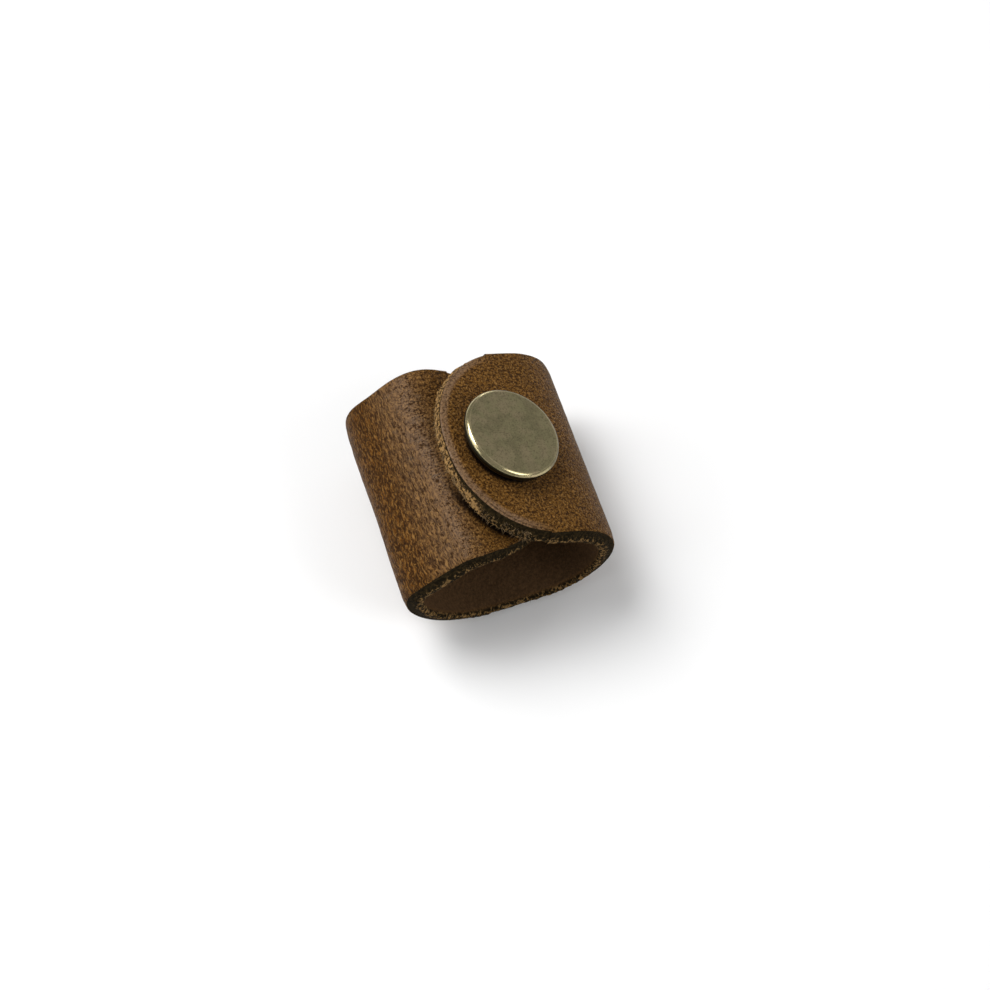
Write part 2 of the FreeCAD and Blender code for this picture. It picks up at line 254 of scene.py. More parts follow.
class Finish:
    """A procedural material in the making, with one Principled shader."""

    # The Mix node's sockets for its factor and its two colours, and the one for its result.
    MIX_INPUTS, MIX_RESULT = (0, 6, 7), 2

    def __init__(self, name, **constants):
        self.material = bpy.data.materials.new(name)
        self.material.use_nodes = True
        self.tree = self.material.node_tree
        self.tree.nodes.clear()
        self.shader = self.tree.nodes.new("ShaderNodeBsdfPrincipled")
        output = self.tree.nodes.new("ShaderNodeOutputMaterial")
        self.tree.links.new(self.shader.outputs["BSDF"], output.inputs["Surface"])
        for socket, value in constants.items():
            self.shader.inputs[socket.replace("_", " ")].default_value = value

    def put(self, socket, value):
        """Link a wire to a socket, or set the socket's own value."""
        if isinstance(value, Wire):
            self.tree.links.new(value.socket, socket)
        elif socket.type == "RGBA":
            socket.default_value = (*value, 1.0)
        else:
            socket.default_value = value

    def node(self, kind, settings=None, sockets=None, output=0):
        """Add a node of a kind, with its settings first and then its sockets' values or links."""
        added = self.tree.nodes.new("ShaderNode" + kind)
        for name, value in (settings or {}).items():
            setattr(added, name, value)
        for name, value in (sockets or {}).items():
            self.put(added.inputs[name], value)
        return Wire(self, added.outputs[output])

    def feed(self, **wires):
        """Link wires to the shader's sockets."""
        for name, wire in wires.items():
            self.put(self.shader.inputs[name.replace("_", " ")], wire)

    def attribute(self, name, output="Fac"):
        return self.node("Attribute", {"attribute_name": name}, output=output)

    def stretched(self, at, factors):
        return self.node("VectorMath", {"operation": "MULTIPLY"}, {0: at, 1: factors})

    def moved(self, at, by, strength):
        """Places moved about by a colour, for crooked edges in what is drawn at them."""
        centred = self.node("VectorMath", {"operation": "SUBTRACT"}, {0: by, 1: (0.5, 0.5, 0.5)})
        shift = self.node("VectorMath", {"operation": "SCALE"}, {0: centred, "Scale": strength})
        return self.node("VectorMath", {"operation": "ADD"}, {0: at, 1: shift})

    def noise(self, at, scale, detail=2.0, roughness=0.5, output="Fac"):
        return self.node("TexNoise", {}, {"Vector": at, "Scale": scale, "Detail": detail,
                                         "Roughness": roughness}, output=output)

    def borders(self, at, scale):
        """Distance to the borders between the cells of a pebbled grain."""
        return self.node("TexVoronoi", {"feature": "DISTANCE_TO_EDGE"}, {"Vector": at, "Scale": scale},
                         output="Distance")

    def axis(self, at, name):
        return self.node("SeparateXYZ", {}, {"Vector": at}, output=name)

    def step(self, value, low, high):
        """0 at low, 1 at high, and a smooth rise between. Low may be the larger one."""
        return self.node("MapRange", {"interpolation_type": "SMOOTHSTEP"},
                         {"Value": value, "From Min": low, "From Max": high})

    def band(self, value, start, full, full_end, end):
        """1 between full and full_end, and a smooth fall to 0 at the start and the end."""
        return self.step(value, start, full) * (1 - self.step(value, full_end, end))

    def mix(self, factor, first, second):
        sockets = dict(zip(self.MIX_INPUTS, (factor, first, second)))
        return self.node("Mix", {"data_type": "RGBA", "clamp_factor": True}, sockets, self.MIX_RESULT)

    def layered(self, colour, *layers):
        """A colour with layers mixed over it in their order, each an amount and a colour."""
        for amount, over in layers:
            colour = self.mix(amount, colour, over)
        return colour

    def bump(self, height, distance):
        return self.node("Bump", {}, {"Height": height, "Distance": distance})


def blend(first, second, share):
    """The first value where the share is 0, and the second where it is 1."""
    return first * (1 - share) + second * share


def shaded(colour, share):
    """A colour made darker or paler by a share."""
    return [part * share for part in colour]


def colour_setting(name, description, default):
    return FloatVectorProperty(name=name, description=description, default=default,
                               subtype="COLOR", size=3, min=0.0, max=1.0)


def length_setting(name, description, default):
    return FloatProperty(name=name, description=description, default=default * MM,
                         unit="LENGTH", subtype="DISTANCE", precision=5)


def angle_setting(name, description, degrees):
    return FloatProperty(name=name, description=description, default=math.radians(degrees),
                         unit="ROTATION")


class SlideStrapSettings(bpy.types.PropertyGroup):
    """Sizes and colours of the leather strap."""

    mesh_step: length_setting("Mesh step", "Distance between the rows of the strap's mesh", 0.27)
    edge_round: length_setting("Edge rounding", "How far the grain face rounds off at a cut edge", 0.35)
    undulation: length_setting("Undulation", "Height of the leather's broad swells", 0.07)
    edge_wander: length_setting("Edge wander", "How far the hand-cut outline wanders", 0.09)
    trim: length_setting("Trim", "How far the lower end is trimmed at its front corner", 0.65)
    flare: length_setting("Flare", "How far the flesh side spreads past the grain face", 0.5)
    rear_lift: length_setting("Rear lift", "How far the crest rises towards the rear edge", 0.5)
    rear_spread: length_setting("Rear spread", "How far the crest spreads past the rear edge", 0.3)
    grain_depth: length_setting("Grain depth", "Depth of the pebbled grain", 0.07)
    brown: colour_setting("Brown", "Dyed grain face", (0.175, 0.076, 0.0125))
    # A deeper brown painted on the bent wall as shade.
    painted_wall_shade: colour_setting("Rich brown", "Deeper brown of the stretched wall", (0.122, 0.040, 0.001))
    tan: colour_setting("Tan", "Rubbed tops of the grain", (0.33, 0.178, 0.052))
    dark: colour_setting("Dark", "Bottom of the grain's creases", (0.028, 0.011, 0.0025))
    # Paler leather where it is rolled and polished: partly pull-up bloom, partly painted sheen.
    bloom_and_sheen: colour_setting("Bloom", "Paler leather where bending pulls the wax up", (0.20, 0.125, 0.075))
    scuff: colour_setting("Scuff", "Blue-grey scuffs", (0.085, 0.070, 0.055))
    edge_dye: colour_setting("Edge dye", "Dyed upper half of the cut edges", (0.0105, 0.0070, 0.0026))
    raw_edge: colour_setting("Raw edge", "Raw lower half of the cut edges", (0.37, 0.215, 0.080))
    flesh: colour_setting("Flesh side", "Suede-like inside of the loop", (0.12, 0.066, 0.030))


class SlideFibreSettings(bpy.types.PropertyGroup):
    """Loose fibres on the cut edges."""

    count: IntProperty(name="Count", description="Number of fibres on the flap's round end",
                       default=1530, min=0, max=8000)
    side_count: IntProperty(name="Side count", description="Number of fibres on the other edges",
                            default=1200, min=0, max=8000)
    longest: length_setting("Longest", "Length of the longest fibres", 0.5)
    thickness: length_setting("Thickness", "Thickness of a fibre at its foot", 0.11)
    pale: colour_setting("Pale fibre", "Palest fibres", (0.33, 0.215, 0.095))
    deep: colour_setting("Deep fibre", "Darkest fibres", (0.06, 0.035, 0.013))


class SlideSnapSettings(bpy.types.PropertyGroup):
    """Sizes and colours of the snap."""

    cap_radius: length_setting("Cap radius", "Radius of the cap", 6.25)
    rim_radius: length_setting("Rim radius", "Radius between the cap's crown and its side", 0.6)
    cap_height: length_setting("Cap height", "From the underside of the cap's edge to its crown", 1.75)
    tuck: length_setting("Tuck", "How far the cap's side tucks in under its edge", 0.9)
    cap_lift: length_setting("Cap lift", "From the leather to the underside of the rolled edge", 0.7)
    dome: length_setting("Dome", "Rise of the cap's middle over its edge", 0.12)
    foot_radius: length_setting("Foot radius", "Radius of the cap's foot", 4.4)
    post_radius: length_setting("Post radius", "Radius of the cap's post", 1.75)
    lean: angle_setting("Lean", "How far the cap leans to the right on the flap", 1.95)
    shift: length_setting("Shift", "How far the cap sits off the hole, towards the rear", -0.165)
    patina: colour_setting("Patina", "Olive patina of the brass", (0.45, 0.396, 0.215))
    brown_patina: colour_setting("Brown patina", "Browner clouds in the patina", (0.51, 0.415, 0.245))
    bare: colour_setting("Bare brass", "Brass rubbed bare at the rim", (0.55, 0.46, 0.25))


class SlideStudioSettings(bpy.types.PropertyGroup):
    """Floor, light and camera."""

    floor: colour_setting("Floor", "Colour of the floor", (0.9, 0.9, 0.9))
    sky: FloatProperty(name="Surrounding light", description="Strength of the pale surroundings",
                       default=0.33)
    key: FloatProperty(name="Key light", description="Power of the large soft light", default=2.15,
                       unit="POWER")
    azimuth: angle_setting("Azimuth", "Camera's turn about the object", -18.209)
    elevation: angle_setting("Elevation", "Camera's height over the horizon", 64.476)
    position: FloatVectorProperty(name="Camera position", description="Place of the camera",
                                  default=(-28.19 * MM, -92.40 * MM, 210.21 * MM), subtype="XYZ",
                                  unit="LENGTH", size=3)
    lens: FloatProperty(name="Lens", description="Focal length of the camera, in millimetres",
                        default=64.12)


def new_piece(name, vertices, faces, material, attributes=None):
    """Make a mesh object of places in metres and faces, with a value per vertex for each attribute."""
    mesh = bpy.data.meshes.new(name)
    mesh.from_pydata(np.asarray(vertices).tolist(), [], [list(face) for face in faces])
    for attribute, values in (attributes or {}).items():
        values = np.asarray(values, np.float32)
        kind, field = ("FLOAT_VECTOR", "vector") if values.ndim == 2 else ("FLOAT", "value")
        mesh.attributes.new(attribute, kind, "POINT").data.foreach_set(field, values.ravel())
    mesh.polygons.foreach_set("use_smooth", [True] * len(mesh.polygons))
    mesh.validate()
    mesh.update()
    piece = bpy.data.objects.new(name, mesh)
    bpy.context.scene.collection.objects.link(piece)
    piece.data.materials.append(material)
    return piece


def flare_share(out_across, depth):
    """How much of the flare a cut edge has at a depth, by the way that it faces."""
    front = smooth_step(0.3, -0.6, out_across)
    facing = ROUND_FLARE + FRONT_FLARE * front + LONG_FLARE * out_across ** 2
    return facing * smooth_step(0.3, 1.7, depth)


def end_line(turn, inset=0.0):
    """A rounded end's outline, drawn in by an inset, at turns from -1 at the front to 1 at the rear:
    along, across, and the two parts of the way out of the leather there."""
    radius = END_RADIUS - inset
    flat = STRAP_WIDTH / 2 - inset - radius
    reach = np.abs(turn) * (flat + radius * math.pi / 2)
    angle = np.maximum(reach - flat, 0) / radius
    side = np.where(turn < 0, -1.0, 1.0)
    along = inset + radius * (1 - np.cos(angle))
    across = side * (np.minimum(reach, flat) + radius * np.sin(angle))
    return along, across, -np.cos(angle), side * np.sin(angle)


class StrapSheet:
    """The strap as a flat closed sheet: a grid on the grain face, a like one on the flesh face, and
    rings round the cut edge between them. Every place is (along, across, depth) in millimetres."""

    # How far from an end the rows of the grid still take its round shape.
    END_ZONE = 16.0
    # The rings of the cut edge: how far out of the face's border, as a share of the edge rounding,
    # and how deep. A worn shoulder, the dyed upper half a little hollow, and the raw lower half.
    PROFILE = [
        (0.55, 0.03), (0.85, 0.12), (1.0, 0.28), (0.93, 0.55), (0.9, 0.85), (1.0, 1.15),
        (1.15, 1.45), (1.2, 1.75), (1.1, 2.02), (0.85, 2.2), (0.45, 2.29),
    ]
    # The first rings, which still belong to the grain face.
    SHOULDER_RINGS = 2

    def __init__(self, settings):
        self.inset = settings.edge_round / MM
        self.half = STRAP_WIDTH / 2 - self.inset
        step = settings.mesh_step / MM
        self.rows = round(FORM.total / step)
        self.columns = round(STRAP_WIDTH / step)
        self.lay_grid()
        self.punch_holes()
        self.close_edges(settings)

    def lay_grid(self):
        """Rows that are straight in the middle and take the shape of the rounded ends near them."""
        turn = np.linspace(-1, 1, self.columns + 1)
        end_along, end_across, _, _ = end_line(turn, self.inset)
        nominal = np.linspace(self.inset, FORM.total - self.inset, self.rows + 1)
        along, across = np.zeros((2, self.rows + 1, self.columns + 1))
        for row, place in enumerate(nominal):
            short = min(place, FORM.total - place)
            share = min((short - self.inset) / (self.END_ZONE - self.inset), 1.0)
            row_along = (1 - share) * end_along + share * short if share < 1 else short
            along[row] = row_along if place < FORM.total / 2 else FORM.total - row_along
            across[row] = (1 - share) * end_across + share * turn * self.half
        self.grid = np.arange(along.size).reshape(along.shape)
        self.flat = np.stack([along.ravel(), across.ravel()], 1)

    def punch_holes(self):
        """Take out the faces inside both holes and move what borders them onto the circles."""
        corners = [self.grid[:-1, :-1], self.grid[1:, :-1], self.grid[1:, 1:], self.grid[:-1, 1:]]
        faces = np.stack([corner.ravel() for corner in corners], 1)
        middle = self.flat[faces].mean(axis=1)
        self.hole_edges = []
        kept = np.ones(len(faces), bool)
        for place in (END_REACH, FORM.total - END_REACH):
            centre = np.array([place, 0.0])
            inside = np.linalg.norm(middle - centre, axis=1) < HOLE_RADIUS
            kept &= ~inside
            edges = {(int(a), int(b)) for face in faces[inside] for a, b in zip(face, np.roll(face, -1))}
            border = sorted(edge for edge in edges if edge[::-1] not in edges)
            self.hole_edges += border
            rim = np.array([a for a, _ in border])
            away = self.flat[rim] - centre
            self.flat[rim] = centre + away * (HOLE_RADIUS / np.linalg.norm(away, axis=1))[:, None]
        self.faces = faces[kept]

    def ways_out(self):
        """The ways out of the leather round the grid's border: the flap's end, the rear edge, the
        lower end and the front edge."""
        _, _, out_along, out_across = end_line(np.linspace(-1, 1, self.columns + 1), self.inset)
        end = np.stack([out_along, out_across], 1)
        rear = np.tile((0.0, 1.0), (self.rows - 1, 1))
        lower_end = np.stack([-out_along, out_across], 1)[::-1]
        return np.concatenate([end, rear, lower_end, -rear])

    def close_edges(self, settings):
        """Add the flesh face, the walls of the holes and the rings of the cut edge."""
        grid, count = self.grid, self.grid.size
        border = np.concatenate([grid[0, :], grid[1:, -1], grid[-1, -2::-1], grid[-2:0:-1, 0]])
        out = self.ways_out()
        layers = [np.column_stack([self.flat, np.full(count, depth)]) for depth in (0.0, LEATHER)]
        rings = [border]
        for level, (share, depth) in enumerate(self.PROFILE):
            spread = share * self.inset + settings.flare / MM * flare_share(out[:, 1], depth)
            ring = self.flat[border] + out * spread[:, None]
            layers.append(np.column_stack([ring, np.full(len(border), depth)]))
            rings.append(2 * count + level * len(border) + np.arange(len(border)))
        rings.append(border + count)
        self.places = np.concatenate(layers)
        walls = [np.stack([upper, np.roll(upper, -1), np.roll(lower, -1), lower], 1)
                 for upper, lower in zip(rings, rings[1:])]
        holes = np.array([(a, b, b + count, a + count) for a, b in self.hole_edges])
        self.all_faces = np.concatenate([self.faces, self.faces[:, ::-1] + count, holes] + walls)
        self.way_out = np.zeros((len(self.places), 2))
        self.way_out[2 * count:] = np.tile(out, (len(self.PROFILE), 1))
        self.on_flesh, self.on_cut = np.zeros((2, len(self.places)))
        self.on_flesh[count:2 * count] = 1.0
        self.on_cut[2 * count + self.SHOULDER_RINGS * len(border):] = 1.0


def inside_outline(along, across):
    """How far a place lies inside the strap's outline, in millimetres."""
    half = STRAP_WIDTH / 2
    short = np.minimum(along, FORM.total - along)
    past = END_RADIUS - short
    beside = np.maximum(np.abs(across) - (half - END_RADIUS), 0)
    rounded = END_RADIUS - np.hypot(np.maximum(past, 0), beside)
    return np.where(past > 0, rounded, half - np.abs(across))


def near_outline(along, across):
    """1 on the strap's outline, falling to 0 within the edge zone."""
    return 1 - smooth_step(0.0, EDGE_ZONE, inside_outline(along, across))


def reshaped(settings, along, across):
    """How far the leather moves towards the rear and out of the grain face, in millimetres: the
    lower end is trimmed at its front corner, and the crest rises and spreads at its rear edge."""
    near = near_outline(along, across)
    end_start = FORM.total - END_RADIUS
    trimmed = smooth_step(end_start - EDGE_ZONE, end_start + EDGE_ZONE, along) * (across < 0) * near
    crest_middle, crest_reach = FORM.starts[LOWER_SEAT] - 1.0, 3.5
    rear_crest = np.exp(-((along - crest_middle) / crest_reach) ** 2) * smooth_step(4.0, 13.0, across)
    sideways = settings.trim / MM * trimmed + settings.rear_spread / MM * rear_crest * near
    return sideways, settings.rear_lift / MM * rear_crest


def painted_shade_share(along, across):
    """Painted shade on the grain face under the flap, which the front sees into, and under the cap's
    rim.
    """
    under_flap = inside_outline(along - FORM.total + 2 * END_REACH, across)
    painted_shade = smooth_step(0.0, 0.5, under_flap) * (along > FORM.total / 2)
    painted_shade *= 0.15 + 0.85 * smooth_step(1.5, 6.0, -across)
    from_cap = np.hypot(along - END_REACH - 0.15, across + 0.35)
    return painted_shade + (1 - smooth_step(5.4, 5.7, from_cap))


class OBJECT_OT_slide_strap(bpy.types.Operator):
    """Make the bent leather strap with its rounded ends and cut edges"""

    bl_idname = "object.slide_strap"
    bl_label = "Leather strap"

    # Millimetres: the cut edge's fine roughness, what the flap's end has more of it, its coarse
    # roughness, the faces' unevenness, and how far the grain face is pressed in near its border.
    FINE, END_FINE, COARSE, UNEVEN, PRESSED = 0.10, 0.12, 0.06, 0.02, 0.10

    def roughness(self, sheet):
        """How far the raw lower part of the cut edge stands out, in millimetres."""
        along, _, depth = sheet.places.T
        height = self.FINE + self.END_FINE * (along < END_RADIUS)
        fine = height * soft_noise(FINE_SEED, sheet.places, 0.5)
        coarse = self.COARSE * soft_noise(COARSE_SEED, sheet.places * (1, 1, 2), 1.3)
        return (fine + coarse) * (sheet.on_cut * smooth_step(0.3, 1.4, depth))

    def execute(self, context):
        settings = context.scene.slide_strap
        sheet = StrapSheet(settings)
        along, across, depth = sheet.places.T
        flat = np.column_stack([along, across, np.zeros(len(along))])
        inside = inside_outline(along, across)

        wander = settings.edge_wander / MM * soft_noise(WANDER_SEED, flat, 5.0)
        long_edge = np.abs(across) > END_RADIUS / 2
        wander *= np.sign(across) * near_outline(along, across) * long_edge
        sideways, lift = reshaped(settings, along, across)
        rough = self.roughness(sheet)
        shifted_along = along + sheet.way_out[:, 0] * rough
        shifted_across = across + wander + sideways + sheet.way_out[:, 1] * rough

        swell = settings.undulation / MM * soft_noise(SWELL_SEED, flat, 7.0)
        swell *= smooth_step(6.0, 11.0, np.hypot(along - END_REACH, across))
        uneven = self.UNEVEN * soft_noise(UNEVEN_SEED, sheet.places, 0.9) * (1 + 2 * sheet.on_flesh)
        pressed = self.PRESSED * (1 - smooth_step(0.2, 1.5, inside))
        pressed *= (1 - sheet.on_flesh) * (depth < LEATHER / 2)
        shifted_depth = depth + swell + uneven + pressed * (1 - sheet.on_cut) - lift

        places = FORM.bend(shifted_along, shifted_across, shifted_depth)
        raw = (1 - smooth_step(9.0, 13.0, along)) * (1 - smooth_step(6.0, 10.0, -across))
        # Painted shade: the dark upper band of the cut edge widens towards the flap's front edge.
        front_edge_shade = smooth_step(-2.0, 6.0, -across) * (along < FORM.total / 2)
        strap = new_piece(
            "strap_leather", places, sheet.all_faces, leather_finish(settings),
            {"skin_at": sheet.places, "cut": sheet.on_cut, "flesh": sheet.on_flesh, "raw": raw,
             "inside": np.clip(inside, 0, 5), "front_edge_shade": front_edge_shade,
             "painted_shade": painted_shade_share(along, across)})
        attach(strap, BODY)
        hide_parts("strap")
        return {"FINISHED"}


def leather_finish(settings):
    """Waxed brown leather: pebbled grain, creases along the bends, dyed and raw cut edges, with painted
    shade and painted sheen.
    """
    finish = Finish("brown_leather", Specular_IOR_Level=0.045, Coat_Roughness=0.32, Coat_IOR=1.4)
    at = finish.attribute("skin_at", "Vector")
    along = finish.axis(at, "X")
    depth = finish.axis(at, "Z")
    names = ("cut", "flesh", "raw", "inside", "painted_shade", "front_edge_shade")
    cut, flesh, raw, inside, painted_shade, front_edge_shade = (finish.attribute(name) for name in names)

    # Where the leather is bent, polished at the crest, and rolled over at the flap's tip. The polished
    # crest and the rolled tip also take a paler colour that is partly pull-up bloom and partly painted
    # sheen.
    corner, crest = FORM.starts[CORNER], FORM.starts[CREST]
    bent = finish.band(along, corner - 9.0, corner - 3.0, crest - 1.0, crest + 3.0)
    polish_and_sheen = finish.band(along, crest - 5.0, crest - 0.5, crest + 2.0, crest + 6.0)
    rolled = finish.step(inside, 1.2, 0.6) * finish.step(along, 11.0, 6.0)

    # The grain, drawn out across the strap where the leather is bent.
    crooked = finish.moved(at, finish.noise(at, 1.3, 3.0, output="Color"), 0.7)
    drawn = finish.stretched(crooked, (1.4, 0.30, 1.4))
    grain = blend(finish.noise(crooked, 2.9, 2.0, 0.6), finish.noise(drawn, 3.6, 3.0, 0.65), bent)
    fine = blend(finish.noise(at, 4.6, 2.0, 0.7), finish.noise(drawn, 3.2, 2.0, 0.7), bent)
    from_crease = blend(finish.borders(crooked, 2.2), finish.borders(drawn, 1.7), bent)
    crease = finish.step(from_crease, 0.18, 0.03)
    shoulder = finish.step(from_crease, 0.26, 0.18) * (1 - crease)
    pits = finish.step(grain, 0.48, 0.40)
    ridges = finish.step(grain - crease * 0.06, 0.50, 0.66)
    strength = 1 - rolled * 0.35

    # The grain face's colour.
    clouds = finish.noise(at, 0.16, 3.0, 0.55)
    patches = finish.noise(at, 0.6, 4.0, 0.6)
    # Painted shade: the bent wall, short of the crest, takes the deeper brown and less of the paler
    # grain.
    painted_wall_shade = bent * (1 - polish_and_sheen)
    scuffs = finish.step(finish.noise(at, 0.55, 4.0, 0.65), 0.55, 0.75) * polish_and_sheen
    tan, dark, raw_edge = settings.tan, settings.dark, settings.raw_edge
    skin = finish.layered(
        settings.brown,
        (finish.step(clouds, 0.30, 0.72), shaded(settings.brown, 0.8)),
        # Painted shade on the bent wall.
        (painted_wall_shade * 0.8, settings.painted_wall_shade),
        (ridges * (0.2 + patches * 0.7) * strength * (1 - painted_wall_shade * 0.6), tan),
        (shoulder * (0.1 + painted_wall_shade * 0.15), tan),
        (crease * (0.45 + painted_wall_shade * 0.35) * strength, dark),
        # Paler bloom on the rolled tip and the polished crest, partly real pull-up and partly painted
        # sheen.
        (rolled * (0.5 + patches * 0.5) + polish_and_sheen * 0.25, settings.bloom_and_sheen),
        (finish.step(fine, 0.52, 0.34) * (0.75 - rolled * 0.3), dark),
        (finish.step(fine, 0.50, 0.72) * (0.6 - painted_wall_shade * 0.15), tan),
        (pits * 0.85 * strength, dark),
        (scuffs * 0.4, settings.scuff),
        # Painted shade under the flap and under the cap's rim.
        (painted_shade, shaded(dark, 0.3)))

    # The cut edge's colour: dyed in its upper half, with a ridge of raw strands below. Towards the
    # flap's front the dark band widens, which is painted shade.
    fibre = finish.noise(finish.stretched(at, (2.6, 2.6, 1.2)), 1.0, 4.0, 0.7)
    strands = finish.noise(finish.stretched(at, (5.0, 5.0, 2.0)), 1.0, 3.0, 0.6)
    tuft = finish.noise(at, 1.5, 2.0, 0.5)
    clump = finish.noise(at, 2.6, 2.0, 0.6)
    speckle = finish.noise(at, 2.8, 3.0, 0.65)
    low = finish.step(depth, 0.7, 1.7)
    ridge = finish.step(depth + (fibre - 0.5) * 0.9 - front_edge_shade * 0.35, 0.34, 0.58)
    # The darkest parts of the raw strands are painted shade in the gaps between tufts.
    raw_strands = finish.mix(finish.step(strands * 0.4 + clump * 0.6, 0.44, 0.56),
                             shaded(raw_edge, 0.10), raw_edge)
    raw_here = finish.step(raw + (tuft - 0.5) * 0.5 + (depth - 1.6) * 0.25, 0.25, 0.55)
    edge = finish.layered(
        settings.edge_dye,
        (finish.step(speckle, 0.42, 0.60), shaded(settings.edge_dye, 2.6)),
        (finish.step(speckle + low * 0.10, 0.60, 0.70) * low * 0.6, raw_edge),
        (ridge * raw_here, raw_strands))

    nap = finish.noise(at, 3.2, 5.0, 0.7)
    suede = finish.mix(finish.step(nap, 0.3, 0.7), shaded(settings.flesh, 0.55), settings.flesh)
    edge_part = finish.step(cut, 0.2, 0.75)
    colour = finish.layered(skin, (edge_part, edge), (flesh, suede))

    soft_part = finish.node("Math", {"operation": "MAXIMUM"}, {0: edge_part, 1: flesh})
    skin_rough = 0.34 + finish.noise(at, 1.4, 3.0) * 0.14 + crease * 0.15
    wax = polish_and_sheen * (0.05 + patches * 0.25) + rolled * 0.2
    skin_height = (grain * 1.2 + fine * 0.7 - crease * 0.30 - pits * 0.10) * strength
    soft_height = strands * 0.9 + clump * 1.2 + nap * 0.4
    height = blend(skin_height, soft_height, soft_part)
    finish.feed(Base_Color=colour, Roughness=blend(skin_rough, 0.9, soft_part),
                Coat_Weight=wax * (1 - soft_part) * (1 - pits),
                Normal=finish.bump(height, settings.grain_depth * 2.4))
    return finish.material


class OBJECT_OT_slide_fibres(bpy.types.Operator):
    """Make the loose fibres that stand out of the cut edges"""

    bl_idname = "object.slide_fibres"
    bl_label = "Edge fibres"

    # Fibres in a tuft, the spread of their turns, and the turns that tufts stand at.
    PER_TUFT, TUFT_SPREAD, TUFT_SPAN = 9, 0.006, (-0.78, 0.8)
    # The share of the longest length on the long edges.
    SIDE_SIZE = 0.22
    # Millimetres: the depths that fibres stand at, the shortest one, and how deep its foot is set.
    DEPTHS, SHORTEST, ROOT = (0.9, 2.25), 0.12, 0.1
    # Rings of a fibre's tube, and corners of a ring.
    RINGS, CORNERS = 4, 3

    def feet(self, settings, draw):
        """Rows of along, across, both parts of the way out, and size, for each fibre."""
        tufts = draw.uniform(*self.TUFT_SPAN, settings.count // self.PER_TUFT)
        turns = np.repeat(tufts, self.PER_TUFT)
        turns = turns + draw.normal(0, self.TUFT_SPREAD, len(turns))
        rows = list(zip(*end_line(turns), 1.0 - 0.65 * smooth_step(0.0, 0.5, turns)))
        for _ in range(settings.side_count):
            side = -1 if draw.random() < 0.5 else 1
            along = draw.uniform(END_RADIUS, FORM.total - END_RADIUS)
            rows.append((along, side * STRAP_WIDTH / 2, 0.0, side, self.SIDE_SIZE))
        return rows

    def tube(self, settings, flare, foot, draw):
        """The vertices of a tapered tube that leans with its neighbours and has a curl of its own."""
        along, across, out_along, out_across, size = foot
        depth = draw.uniform(*self.DEPTHS)
        length = settings.longest / MM * size * draw.uniform(0.15, 1.0) ** 2.2 + self.SHORTEST
        # Fibres with feet at nearly the same place draw the same lean and dip.
        tuft_draw = np.random.default_rng(int(1000 * along) + int(10 * across) + TUFT_SEED)
        lean = tuft_draw.normal(0, 1.0) + draw.normal(0, 0.35)
        dip = tuft_draw.normal(0.1, 0.5) + draw.normal(0, 0.25)
        curl = draw.normal(0, 0.8, 3)
        way = np.array([out_along - lean * out_across, out_across + lean * out_along, dip])
        way /= np.linalg.norm(way)
        thick = settings.thickness / MM / 2 * draw.uniform(0.5, 1.0)
        out = flare * float(flare_share(out_across, depth)) - self.ROOT
        steps = np.linspace(0, 1, self.RINGS)
        start = np.array([along + out * out_along, across + out * out_across, depth])
        spine = start + np.outer(steps * length, way) + np.outer(steps ** 2 * length * 0.35, curl)
        spine[:, 2] = np.clip(spine[:, 2], 0.1, LEATHER + 0.25)
        one_side = np.cross(way, draw.normal(0, 1, 3))
        one_side /= np.linalg.norm(one_side)
        other_side = np.cross(way, one_side)
        vertices = []
        for step, point in zip(steps, spine):
            width = thick * (1 - 0.8 * step)
            for angle in np.arange(self.CORNERS) * 2 * math.pi / self.CORNERS:
                way_out = math.cos(angle) * one_side + math.sin(angle) * other_side
                vertices.append(point + width * way_out)
        return vertices

    def tube_faces(self, first):
        """The faces of a tube whose vertices start with the first one, closed at both ends."""
        faces = []
        corners = self.CORNERS
        for ring in range(first, first + (self.RINGS - 1) * corners, corners):
            for corner in range(corners):
                a, b = ring + corner, ring + (corner + 1) % corners
                faces.append((a, b, b + corners, a + corners))
        last = first + (self.RINGS - 1) * corners
        return faces + [(first, first + 2, first + 1), (last, last + 1, last + 2)]

    def execute(self, context):
        settings, strap = context.scene.slide_fibres, context.scene.slide_strap
        draw = np.random.default_rng(FIBRE_SEED)
        vertices, faces, shades = [], [], []
        for foot in self.feet(settings, draw):
            faces += self.tube_faces(len(vertices))
            vertices += self.tube(settings, strap.flare / MM, foot, draw)
            shades += [draw.random()] * (self.RINGS * self.CORNERS)
        along, across, depth = np.array(vertices).T
        sideways, lift = reshaped(strap, along, across)
        places = FORM.bend(along, across + sideways, depth - lift)
        fibres = new_piece("edge_fibres", places, faces, fibre_finish(settings), {"shade": shades})
        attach(fibres, BODY)
        return {"FINISHED"}


def fibre_finish(settings):
    """Dry raw leather fibres, each of its own shade."""
    finish = Finish("raw_fibres")
    shade = finish.attribute("shade")
    colour = finish.mix(shade, settings.deep, settings.pale)
    at = finish.node("TexCoord", output="Object")
    grey = finish.noise(at, 2500.0, 2.0)
    finish.feed(Base_Color=finish.mix(finish.step(grey, 0.4, 0.7) * 0.3, colour, settings.deep),
                Roughness=0.78 + shade * 0.15)
    return finish.material


def snap_frame():
    """The snap's axes: across to the right, towards the rear, and out of the leather, at its foot."""
    right = Vector((math.cos(SNAP_SLOPE), 0, -math.sin(SNAP_SLOPE)))
    rear = Vector((0, 1, 0))
    axes = Matrix((right, rear, right.cross(rear))).transposed().to_4x4()
    return Matrix.Translation((FORM.foot[0] * MM, 0, FORM.foot[1] * MM)) @ axes


